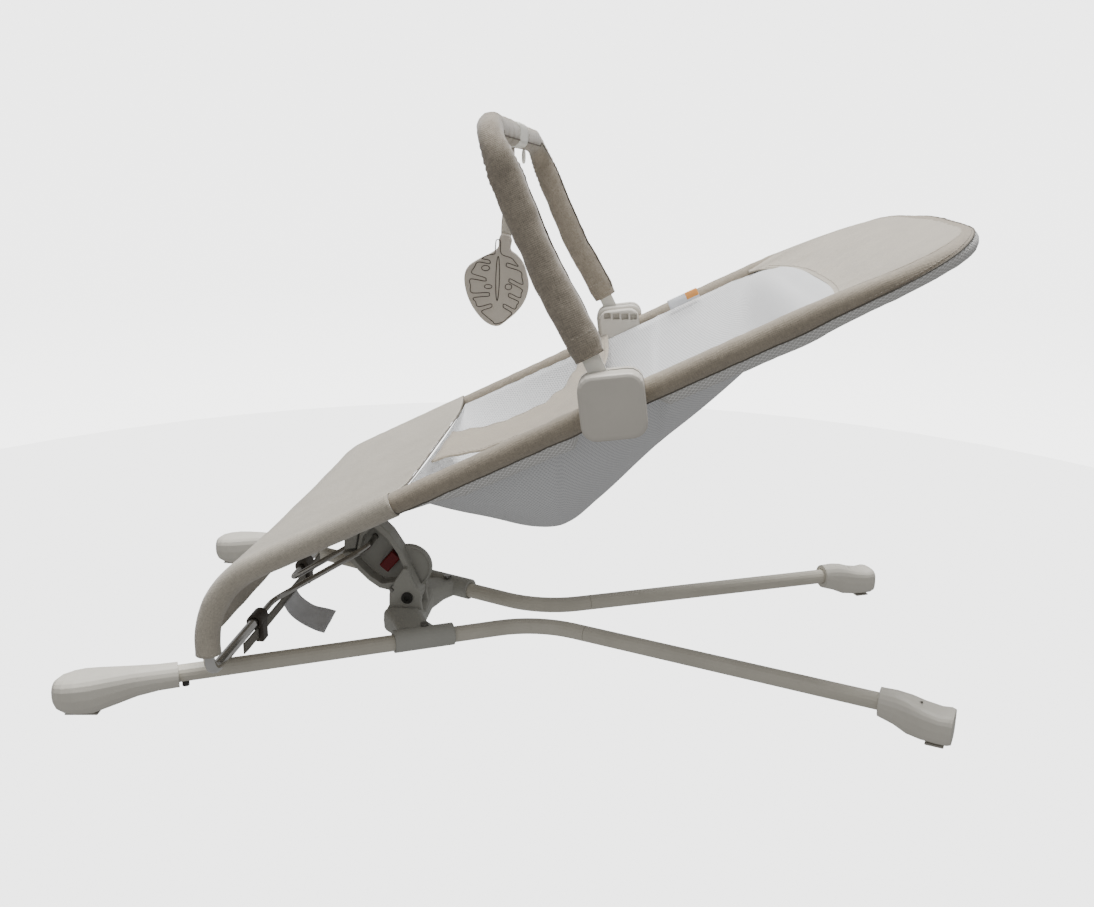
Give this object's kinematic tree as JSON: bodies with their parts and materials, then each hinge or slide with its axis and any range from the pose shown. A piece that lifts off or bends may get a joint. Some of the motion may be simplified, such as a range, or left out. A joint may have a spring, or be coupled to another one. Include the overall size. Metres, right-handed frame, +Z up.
{
  "type": "baby bouncer seat",
  "caption": "Low baby bouncer: fabric sling seat on a sprung wire frame, two bent base tubes with feet, recline arm with latch, and a fold-down toy bar with a hanging leaf.",
  "frame": {"origin": "on the floor, on the symmetry plane of the frame, about under the middle of the seat", "axes": "+X from the foot end to the head end, +Y to the sitting child's right side, +Z up"},
  "size_m": [0.8044, 0.466, 0.5223],
  "materials": {
    "frame_paint": "satin",
    "foot_plastic": "matte",
    "foot_rubber": "matte",
    "dark_plastic": "satin",
    "hub_plastic": "matte",
    "screw_steel": "bright",
    "dark_steel": "satin",
    "chromed_tube": "polished",
    "latch_red": "satin",
    "collar_brown": "satin",
    "taupe_fabric": "heathered knit",
    "light_fabric": "heathered knit",
    "mesh_fabric": "honeycomb mesh",
    "air_mesh": "diamond air mesh",
    "sleeve_fabric": "heathered knit",
    "strap_webbing": "woven",
    "label_white": "smooth woven",
    "clamp_plastic": "matte",
    "bar_strip": "matte",
    "ribbon": "woven",
    "leaf_sheet": "matte"
  },
  "bodies": {
    "base": {"base_tube_left": "frame_paint", "base_tube_right": "frame_paint", "front_foot_left": "foot_plastic", "front_foot_right": "foot_plastic", "front_pad_left": "foot_rubber", "front_pad_right": "foot_rubber", "hub_saddle": "hub_plastic", "hub_screw_left": "screw_steel", "hub_screw_right": "screw_steel", "pivot_bolt": "dark_steel", "pivot_nut": "dark_steel", "rear_foot_left": "foot_plastic", "rear_foot_right": "foot_plastic", "rear_pad_left": "foot_rubber", "rear_pad_right": "foot_rubber", "rear_tube_left": "frame_paint", "rear_tube_right": "frame_paint", "stop_pin": "dark_steel", "tube_spigot_left": "dark_steel", "tube_spigot_right": "dark_steel"},
    "foot_button_left": {"foot_button_left": "dark_plastic"},
    "foot_button_right": {"foot_button_right": "dark_plastic"},
    "recline_arm": {"arm_shell": "hub_plastic", "clamp_screw_1": "dark_steel", "clamp_screw_2": "dark_steel", "wire_clamp": "hub_plastic"},
    "latch": {"latch_button": "latch_red"},
    "seat": {"care_label": "label_white", "clamp_inner_left": "clamp_plastic", "clamp_inner_right": "clamp_plastic", "clamp_outer_left": "clamp_plastic", "clamp_outer_right": "clamp_plastic", "collar_left": "collar_brown", "collar_right": "collar_brown", "foot_panel": "light_fabric", "foot_strap": "strap_webbing", "head_bow": "chromed_tube", "head_cover": "air_mesh", "head_panel": "light_fabric", "mesh_band_left": "air_mesh", "mesh_band_right": "air_mesh", "rail_cover_left": "taupe_fabric", "rail_cover_right": "taupe_fabric", "rail_left": "chromed_tube", "rail_right": "chromed_tube", "restraint_flap": "taupe_fabric", "side_label": "label_white", "sling_pocket": "mesh_fabric", "spring_wire": "chromed_tube"},
    "toy_bar": {"bar_core_left": "bar_strip", "bar_core_right": "bar_strip", "bar_joint": "clamp_plastic", "bar_sleeve_left": "sleeve_fabric", "bar_sleeve_right": "sleeve_fabric", "bar_tab_left": "clamp_plastic", "bar_tab_right": "clamp_plastic", "toy_ring": "clamp_plastic"},
    "toy": {"leaf_toy": "leaf_sheet", "toy_ribbon": "ribbon"}
  },
  "joints": [
    {"name": "recline_pivot", "type": "hinge", "parent": "base", "child": "recline_arm", "pos_m": [-0.112, 0, 0.05], "axis": [0, 1, 0], "range_deg": [0, 20]},
    {"name": "bounce_hinge", "type": "hinge", "parent": "recline_arm", "child": "seat", "pos_m": [-0.14943, 0, 0.1075], "axis": [0, 1, 0], "range_deg": [-1, 5], "stiffness_Nm_per_rad": 150, "springref_deg": -1.46},
    {"name": "latch_slide", "type": "slide", "parent": "recline_arm", "child": "latch", "axis": [-0.655, 0, 0.7556], "range_m": [0, 0.006], "stiffness_N_per_m": 300},
    {"name": "foot_button_left_press", "type": "slide", "parent": "base", "child": "foot_button_left", "axis": [0, 0, 1], "range_m": [0, 0.003], "stiffness_N_per_m": 500},
    {"name": "foot_button_right_press", "type": "slide", "parent": "base", "child": "foot_button_right", "axis": [0, 0, 1], "range_m": [0, 0.003], "stiffness_N_per_m": 500},
    {"name": "toy_bar_hinge", "type": "hinge", "parent": "seat", "child": "toy_bar", "pos_m": [0.0985, 0, 0.3035], "axis": [0, 1, 0], "range_deg": [-40, 60]},
    {"name": "toy_swing", "type": "hinge", "parent": "toy_bar", "child": "toy", "pos_m": [-0.003, -0.04, 0.511], "axis": [0, 1, 0], "range_deg": [-30, 30]}
  ]
}
